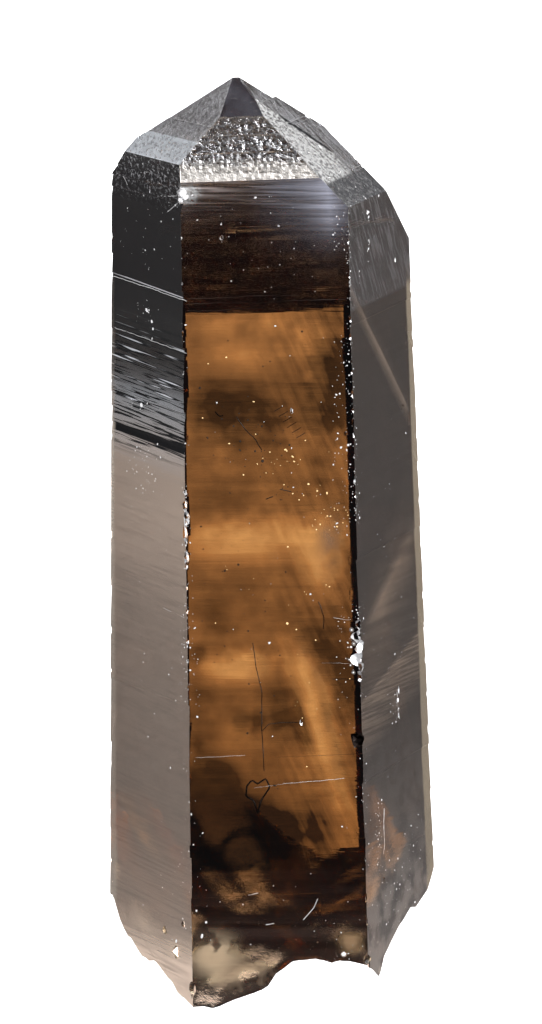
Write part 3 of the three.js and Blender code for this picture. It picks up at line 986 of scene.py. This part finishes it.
# Chips, flecks and specks on the skin: the largest one's size, how much rarer large ones are, and
# where they lie. A patch has its middle, reach and number to the square millimetre. An edge is that
# between two faces, with its lowest and highest place and its number.
chips = {
    "size": 0.19,
    "rarity": 4.0,
    "seed": 11,
    "edges": [
        ("front", "frontRight", (1.0, 33.5), 5.0),
        ("front", "frontRight", (-34.0, -14.0), 1.6),
        ("front", "frontRight", (-14.0, -6.5), 7.0),
        ("front", "frontLeft", (-16.0, 6.0), 6.0),
        ("front", "frontLeft", (6.0, 36.0), 0.8),
        ("front", "frontLeft", (-40.0, -16.0), 1.2),
        ("frontLeft", "backLeft", (31.0, 36.5), 6.0),
        ("frontLeft", "backLeft", (-34.0, 8.0), 2.2),
        ("frontRight", "backRight", (-32.0, 24.0), 2.0),
        ("pointFrontRight", "frontRight", (28.0, 40.0), 3.0),
    ],
    "patches": [
        ((-9.15, 35.0), (0.9, 0.9), 9.0),
        ((-9.3, 34.5), (2.6, 2.0), 0.8),
        ((-13.2, 6.0), (1.6, 3.4), 3.0),
        ((-12.6, 22.5), (0.5, 1.2), 4.0),
        ((-13.6, 13.0), (0.4, 0.5), 6.0),
        ((-12.0, -14.0), (3.0, 24.0), 0.16),
        ((-12.5, 31.0), (3.4, 6.0), 0.5),
        ((0.0, 6.0), (8.0, 28.0), 0.12),
        ((-1.0, 30.0), (7.0, 6.0), 0.3),
        ((9.0, 31.0), (2.0, 5.0), 0.2),
        ((11.5, -6.0), (3.6, 26.0), 0.14),
        ((0.0, -39.0), (15.0, 7.0), 0.16),
        ((6.4, -11.0), (1.0, 2.4), 3.0),
        ((9.2, -31.4), (0.35, 4.6), 9.0),
        ((11.6, -18.8), (0.4, 1.5), 6.0),
        ((11.0, -37.0), (2.6, 4.0), 1.2),
        ((14.0, -34.0), (2.0, 3.0), 1.4),
        ((5.0, -42.5), (3.0, 1.6), 1.6),
        ((-11.5, -38.0), (2.0, 5.0), 0.3),
    ],
}
goldFlecks = {
    "size": 0.22,
    "rarity": 2.0,
    "seed": 5,
    "edges": [],
    "patches": [
        ((2.2, 4.9), (0.8, 0.8), 9.0),
        ((5.0, 2.6), (0.5, 0.8), 8.0),
        ((0.4, 8.2), (0.8, 0.8), 3.0),
        ((-1.9, 8.0), (0.5, 0.7), 3.0),
        ((1.0, 8.0), (5.0, 5.0), 0.3),
        ((-5.0, 14.0), (3.0, 6.0), 0.12),
        ((2.5, -16.0), (4.0, 9.0), 0.14),
        ((0.0, -4.0), (8.0, 8.0), 0.12),
    ],
}
darkFlecks = {
    "size": 0.2,
    "rarity": 2.0,
    "seed": 3,
    "edges": [],
    "patches": [
        ((-3.0, 9.0), (4.4, 5.0), 1.0),
        ((-4.4, 12.4), (1.4, 0.8), 3.0),
        ((-1.4, 10.6), (0.5, 1.6), 4.0),
        ((0.0, 5.2), (1.4, 0.8), 2.4),
        ((-2.6, -24.6), (1.0, 1.6), 4.0),
        ((-6.5, 2.0), (3.0, 8.0), 0.5),
        ((-2.0, 17.0), (7.0, 6.0), 0.2),
        ((-3.5, -12.0), (5.0, 9.0), 0.3),
    ],
}
# Single larger chips: the face, place across and height, and size in millimetres.
largeChips = [
    ("frontRight", -1.7, 31.8, 0.32), ("frontRight", -1.7, 31.3, 0.2),
    ("frontRight", -2.0, 28.2, 0.3), ("frontRight", 4.2, 25.9, 0.25),
    ("frontRight", 1.2, -18.3, 0.3), ("frontRight", 1.3, -19.2, 0.2),
    ("frontLeft", -0.6, 22.6, 0.3), ("frontLeft", 0.3, 21.6, 0.34), ("frontLeft", 0.5, 20.9, 0.2),
    ("frontLeft", -1.6, 12.9, 0.3), ("frontLeft", 4.2, -40.6, 0.3),
    ("front", -9.05, 35.1, 0.5), ("front", -8.8, 34.7, 0.35), ("front", -9.3, 34.4, 0.4),
    ("front", 6.6, -9.0, 0.3), ("front", 6.8, -10.4, 0.4),
    ("front", 6.3, -12.0, 0.35), ("front", 6.7, -13.3, 0.3),
    ("front", -8.9, -39.5, 0.3), ("front", 5.2, -42.0, 0.35),
]
largeChipSeed = 4
# A flake's thickness and narrowest width by its size, the smallest size by the largest, and how it
# lies on the skin: turned by any angle, and sunk by a share of its thickness. A single larger one
# stands this far proud.
flakeShape = {
    "thickness": 0.12,
    "narrowest": 0.35,
    "smallest": 0.25,
    "turns": (0.0, 6.28),
    "sink": 0.5,
    "proud": 0.008,
}
# How far from an edge and past its ends its chips lie, and the height from which any are made.
scatterReach = {"edge": (0.35, 0.1), "edgeEnds": 0.5, "above": (1.5, 2.0)}
safeBox = {"x": 16.2, "y": 45.9, "bottom": 0.4, "top": 27.6}


def insideBox(board):
    # 1 where a flake can't reach out of the part's box
    x, y, z = board.parts(board.node("GeometryNodeInputPosition"))

    def within(place, low, high):
        return place.sum("LESS_THAN", place, high * mm) * place.sum("GREATER_THAN", place, low * mm)

    half, long = safeBox["x"], safeBox["y"]
    inside = within(x, -half, half) * within(y, -long, long)
    return inside * within(z, safeBox["bottom"], safeBox["top"])


def scatterDensity(board, edges, patches):
    # to the square metre, over the upper part of the skin
    place = crystalPlace(board)
    x, y, z = place
    flat = board.join(x, y, 0.0)
    amount = 0.0 * x
    for first, second, (low, high), number in edges:
        near = nearPlane(board, place, first, scatterReach["edge"])
        near = near * nearPlane(board, place, second, scatterReach["edge"])
        amount = amount + near * y.band(low, high, scatterReach["edgeEnds"]) * number
    for middle, reach, number in patches:
        amount = amount + patch(board, flat, middle, reach, number)
    amount = amount * z.rise(*scatterReach["above"])
    return amount * insideBox(board) / mm ** 2


def instanceChips(board, given, points, size, facing):
    # flat flakes that lie on the skin, each spun and drawn out its own way
    shape = board.node("GeometryNodeMeshIcoSphere", None, {"Radius": 1.0, "Subdivisions": 1})
    low, high = flakeShape["turns"]
    sockets = {2: low, 3: high, 8: given["seed"]}
    spin = board.node("FunctionNodeRandomValue", {"data_type": "FLOAT"}, sockets, 1)
    sockets = {"Rotation": board.join(0.0, 0.0, spin), "Vector": facing}
    turn = board.node("FunctionNodeAlignRotationToVector", {"axis": "Z"}, sockets)
    narrow, thick = flakeShape["narrowest"], flakeShape["thickness"]
    sockets = {0: (narrow, narrow, thick), 1: (1, 1, thick), 8: given["seed"] + 1}
    drawn = board.node("FunctionNodeRandomValue", {"data_type": "FLOAT_VECTOR"}, sockets)
    scale = board.vector("MULTIPLY", drawn, board.join(size, size, size))
    sockets = {"Points": points, "Instance": shape, "Rotation": turn, "Scale": scale}
    return board.node("GeometryNodeInstanceOnPoints", None, sockets)


def scatterTree(name, spread, material):
    board, given = geometryTree(name, ("size", "rarity", "seed"))
    density = scatterDensity(board, spread["edges"], spread["patches"])
    sockets = {"Mesh": given["Geometry"], "Density": density, "Seed": given["seed"]}
    found = board.node("GeometryNodeDistributePointsOnFaces", None, sockets)
    normal = Wire(board, found.socket.node.outputs["Normal"])
    sockets = {2: 0.0, 3: 1.0, 8: given["seed"] + 2}
    chance = board.node("FunctionNodeRandomValue", {"data_type": "FLOAT"}, sockets, 1)
    smallest = flakeShape["smallest"]
    size = given["size"] * (smallest + chance ** given["rarity"] * (1 - smallest))
    down = size * -flakeShape["thickness"] * flakeShape["sink"]
    sunk = board.vector("MULTIPLY", normal, board.join(down, down, down))
    points = board.node("GeometryNodeSetPosition", None, {"Geometry": found, "Offset": sunk})
    closeTree(board, instanceChips(board, given, points, size, normal), material)
    return board


# Chips and flecks catch light that a flat shade would miss, so the pale ones glow a little: painted
# light.
finishes = {
    "chipWhite": {"colour": (0.95, 0.95, 0.96), "rough": 0.5, "glow": 0.2},
    "fleckGold": {"colour": (1.0, 0.72, 0.36), "rough": 0.5, "glow": 0.6},
    "fleckDark": {"colour": (0.03, 0.018, 0.012), "rough": 0.6, "glow": 0.0},
}


def plainMaterial(name):
    finish = finishes[name]
    material = bpy.data.materials.new(name)
    material.use_nodes = True
    shader = material.node_tree.nodes["Principled BSDF"]
    shader.inputs["Base Color"].default_value = (*finish["colour"], 1)
    shader.inputs["Roughness"].default_value = finish["rough"]
    shader.inputs["Emission Color"].default_value = (*finish["colour"], 1)
    shader.inputs["Emission Strength"].default_value = finish["glow"]
    material.cycles.emission_sampling = "NONE"
    return material


def addPiece(name, mesh, board, values):
    piece = bpy.data.objects.new(name, mesh)
    bpy.context.scene.collection.objects.link(piece)
    makePlain(piece, board, values)
    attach(piece, "root")
    print(name, "made:", len(piece.data.polygons), "faces")


def addScatter(name, spread, material):
    values = {"size": spread["size"] * mm, "rarity": spread["rarity"], "seed": spread["seed"]}
    addPiece(name, crystalBody.data.copy(), scatterTree(name, spread, material), values)


def onFace(name, across, height, sink=0.0):
    # the place of a point of a face, in the part's metres
    facing, reach = planes[name]
    turn, _, lean = longFaces[name]
    turn, lean = math.radians(turn), math.radians(lean)
    out = (reach - sink - height * math.sin(lean)) / math.cos(lean)
    x = across * math.cos(turn) + out * math.sin(turn)
    z = out * math.cos(turn) - across * math.sin(turn)
    return crystalToPart @ Vector((x, height, z))


def largeChipMesh():
    # a point for each, sunk so far that its flake comes just above the face
    mesh = bpy.data.meshes.new("largeChips")
    places = [
        onFace(face, across, height, size * flakeShape["thickness"] - flakeShape["proud"])
        for face, across, height, size in largeChips
    ]
    mesh.from_pydata(places, [], [])
    sizes = mesh.attributes.new("chipSize", "FLOAT", "POINT")
    sizes.data.foreach_set("value", [size * mm for *_, size in largeChips])
    facings = mesh.attributes.new("facing", "FLOAT_VECTOR", "POINT")
    turned = [turnDown.to_3x3() @ planes[face][0] for face, *_ in largeChips]
    facings.data.foreach_set("vector", [value for facing in turned for value in facing])
    return mesh


def largeChipTree(material):
    board, given = geometryTree("largeChips", ("seed",))
    attribute = "GeometryNodeInputNamedAttribute"
    size = board.node(attribute, {"data_type": "FLOAT"}, {"Name": "chipSize"})
    facing = board.node(attribute, {"data_type": "FLOAT_VECTOR"}, {"Name": "facing"})
    points = board.node("GeometryNodeMeshToPoints", None, {"Mesh": given["Geometry"]})
    closeTree(board, instanceChips(board, given, points, size, facing), material)
    return board


# Fine cracks and scratches, and pale lines where ledges catch light: the face they follow, points
# across and by height, and thickness.
cracks = {
    "dark": [
        ("front", [(-4.3, 12.8), (-3.6, 11.6), (-2.7, 10.7), (-1.9, 9.4)], 0.05),
        ("front", [
            (-3.2, -9.9), (-2.9, -12.5), (-2.4, -14.9), (-2.5, -18.4), (-2.35, -22.9),
        ], 0.045),
        ("front", [
            (-4.1, -24.4), (-3.6, -23.8), (-3.0, -24.2), (-2.2, -23.7), (-1.8, -24.6),
            (-2.7, -25.9), (-3.1, -27.2), (-3.4, -26.0), (-4.2, -25.4), (-4.1, -24.4),
        ], 0.09),
        ("front", [(-2.5, -18.9), (-1.8, -18.2), (-0.8, -18.1), (1.2, -18.1)], 0.035),
        ("front", [(-9.0, 24.15), (-5.0, 24.2), (-2.0, 24.0), (1.0, 24.15), (6.6, 24.1)], 0.05),
        ("front", [(-8.9, 23.5), (-6.0, 23.4), (-4.0, 23.55), (-1.5, 23.5)], 0.04),
        ("front", [(-8.9, 24.7), (-6.4, 24.65), (-3.0, 24.75), (2.0, 24.65)], 0.035),
        ("front", [(-6.4, 13.4), (-6.0, 12.9), (-5.6, 13.0)], 0.06),
        ("front", [(-0.2, 5.4), (0.9, 5.1)], 0.05),
        ("front", [(-1.6, 4.5), (-0.9, 4.7)], 0.05),
        ("front", [(3.4, -6.0), (3.9, -7.6), (3.8, -8.8)], 0.05),
        ("front", [(4.6, -13.9), (6.9, -14.0)], 0.04),
    ],
    # Pale lines: partly scratches, partly ledge edges with a painted highlight.
    "pale": [
        ("front", [(-3.4, -24.6), (0.0, -24.3), (5.6, -24.0)], 0.014),
        ("front", [(-9.1, -21.3), (-4.2, -21.25)], 0.01),
        ("front", [(-4.2, -35.5), (-3.2, -35.3)], 0.03),
        ("front", [(-2.5, -38.6), (-1.7, -38.5)], 0.035),
        ("front", [(2.7, -36.2), (2.3, -37.1), (1.2, -38.3)], 0.025),
        ("front", [(4.8, -7.7), (6.4, -8.0)], 0.022),
        ("front", [(3.6, -12.2), (6.6, -12.4)], 0.022),
        ("frontRight", [(-3.0, -28.4), (-3.3, -30.2), (-3.2, -32.0), (-3.6, -33.0)], 0.035),
        ("frontRight", [(1.0, -17.4), (1.2, -18.2), (1.1, -19.4), (1.4, -20.3)], 0.035),
        ("frontLeft", [(-6.6, 25.1), (0.0, 24.9), (6.3, 24.6)], 0.025),
        ("frontLeft", [(-6.6, 19.95), (0.0, 19.7), (6.3, 19.4)], 0.018),
        ("frontLeft", [(2.0, -6.9), (5.9, -7.2)], 0.012),
        ("frontLeft", [(1.4, 34.2), (6.0, 35.0)], 0.02),
        ("frontLeft", [(3.0, 32.9), (6.0, 34.8)], 0.016),
        ("frontLeft", [(-4.6, 35.4), (-3.9, 34.6)], 0.02),
    ],
}
# A row of short ticks on the front: the first one's start, the way to the next and along a tick.
ladder = {
    "from": (-0.6, 13.2),
    "step": (0.42, -0.55),
    "rung": (0.9, 0.5),
    "count": 6,
    "thickness": 0.035,
}
crackShape = {"wander": 0.1, "wander size": 0.8, "pitch": 0.3}
crackTube = {"sides": 5, "sideways": 0.6}


def ladderLines():
    (x, y), (stepX, stepY), (alongX, alongY) = (ladder[name] for name in ("from", "step", "rung"))
    starts = [(x + stepX * i, y + stepY * i) for i in range(ladder["count"])]
    return [
        ("front", [start, (start[0] + alongX, start[1] + alongY)], ladder["thickness"])
        for start in starts
    ]


def crackMesh(name, lines):
    # bare edges along each crack, each point with its thickness
    places = [
        (face, *place, thickness) for face, points, thickness in lines for place in points
    ]
    edges = []
    first = 0
    for _, points, _ in lines:
        edges += [(first + i, first + i + 1) for i in range(len(points) - 1)]
        first += len(points)
    mesh = bpy.data.meshes.new(name)
    sunk = [onFace(*place) for place in places]
    mesh.from_pydata(sunk, edges, [])
    sizes = mesh.attributes.new("thickness", "FLOAT", "POINT")
    sizes.data.foreach_set("value", [thickness * mm for *_, thickness in places])
    return mesh


def crackTree(material):
    board, given = geometryTree("crackTubes", crackShape)
    lines = board.node("GeometryNodeMeshToCurve", None, {"Mesh": given["Geometry"]})
    sockets = {"Curve": lines, "Length": given["pitch"]}
    fine = board.node("GeometryNodeResampleCurve", {"mode": "LENGTH"}, sockets)
    place = board.node("GeometryNodeInputPosition")
    size = given["wander size"]
    scaled = board.vector("DIVIDE", place, board.join(size, size, size))
    offset = (board.noise(scaled, 1, detail=2) - 0.5) * given["wander"] * 2
    moved = board.join(offset * crackTube["sideways"], offset, 0.0)
    wavy = board.node("GeometryNodeSetPosition", None, {"Geometry": fine, "Offset": moved})
    sockets = {"Resolution": crackTube["sides"], "Radius": 1.0}
    ring = board.node("GeometryNodeCurvePrimitiveCircle", {"mode": "RADIUS"}, sockets)
    named = {"Name": "thickness"}
    width = board.node("GeometryNodeInputNamedAttribute", {"data_type": "FLOAT"}, named)
    sockets = {"Curve": wavy, "Profile Curve": ring, "Scale": width, "Fill Caps": True}
    tubes = board.node("GeometryNodeCurveToMesh", None, sockets)
    closeTree(board, tubes, material)
    return board


def addCracks(name, lines, material):
    values = {label: size * mm for label, size in crackShape.items()}
    addPiece(name, crackMesh(name, lines), crackTree(material), values)


chipWhite, fleckGold, fleckDark = (plainMaterial(name) for name in finishes)
addScatter("chips", chips, chipWhite)
addScatter("goldFlecks", goldFlecks, fleckGold)
addScatter("darkFlecks", darkFlecks, fleckDark)
addPiece("largeChips", largeChipMesh(), largeChipTree(chipWhite), {"seed": largeChipSeed})
addCracks("darkCracks", cracks["dark"] + ladderLines(), fleckDark)
addCracks("paleCracksAndLitLedges", cracks["pale"], chipWhite)
print("chips, flecks and cracks made")

# The pale floor has a light table let into it. One soft lamp stands off to the right of the point,
# and a weak one to the left.
studio = {
    "floorSize": 6.0,
    "floorShade": 0.5,
    "floorRough": 1.0,
    "table": {"size": 1.2, "height": 0.05, "spread": 84.0, "watts": 2.2},
    "lamps": {
        "mainLamp": {"size": 0.4, "place": (0.55, 0.4, 0.42), "watts": 9.0},
        "sideLamp": {"size": 0.3, "place": (-0.5, -0.1, 0.1), "watts": 2.0},
    },
    "sky": [(0.0, (0.34, 0.34, 0.35)), (0.25, (0.17, 0.17, 0.18)), (1.0, (0.066, 0.066, 0.07))],
    "bounces": {"all": 16, "glass": 16, "gloss": 12},
}


def addPanel(name, place, aim, size, watts, spread=180.0):
    data = bpy.data.lights.new(name, "AREA")
    data.size = size
    data.energy = watts
    data.spread = math.radians(spread)
    lamp = bpy.data.objects.new(name, data)
    lamp.location = place
    lamp.rotation_euler = (Vector(aim) - Vector(place)).to_track_quat("-Z", "Y").to_euler()
    bpy.context.scene.collection.objects.link(lamp)
    return lamp


def addFloor():
    half = studio["floorSize"] / 2
    mesh = bpy.data.meshes.new("floor")
    depth = -2 * studio["table"]["height"] * mm
    corners = ((-half, -half), (half, -half), (half, half), (-half, half))
    mesh.from_pydata([(x, y, depth) for x, y in corners], [], [range(4)])
    floor = bpy.data.objects.new("floor", mesh)
    bpy.context.scene.collection.objects.link(floor)
    material = bpy.data.materials.new("paleFloor")
    material.use_nodes = True
    shader = material.node_tree.nodes["Principled BSDF"]
    shade = studio["floorShade"]
    shader.inputs["Base Color"].default_value = (shade, shade, shade, 1)
    shader.inputs["Roughness"].default_value = studio["floorRough"]
    mesh.materials.append(material)


def addSky():
    world = bpy.data.worlds.new("studio")
    world.use_nodes = True
    board = Board(world.node_tree)
    up = board.parts(board.node("ShaderNodeTexCoord", None, None, "Generated"))[2]
    background = world.node_tree.nodes["Background"]
    board.plug(background.inputs["Color"], board.ramp(up, studio["sky"]))
    bpy.context.scene.world = world


addFloor()
addSky()
table = studio["table"]
tableAt = (0, 0, -table["height"] * mm)
lit = addPanel("lightTable", tableAt, (0, 0, 1), table["size"], table["watts"], table["spread"])
lit.visible_camera = True
for name, lamp in studio["lamps"].items():
    addPanel(name, lamp["place"], (0, 0, 0), lamp["size"], lamp["watts"])
scene = bpy.context.scene
scene.view_settings.view_transform = "Standard"
scene.cycles.max_bounces = studio["bounces"]["all"]
scene.cycles.transmission_bounces = studio["bounces"]["glass"]
scene.cycles.glossy_bounces = studio["bounces"]["gloss"]
print("studio set up")
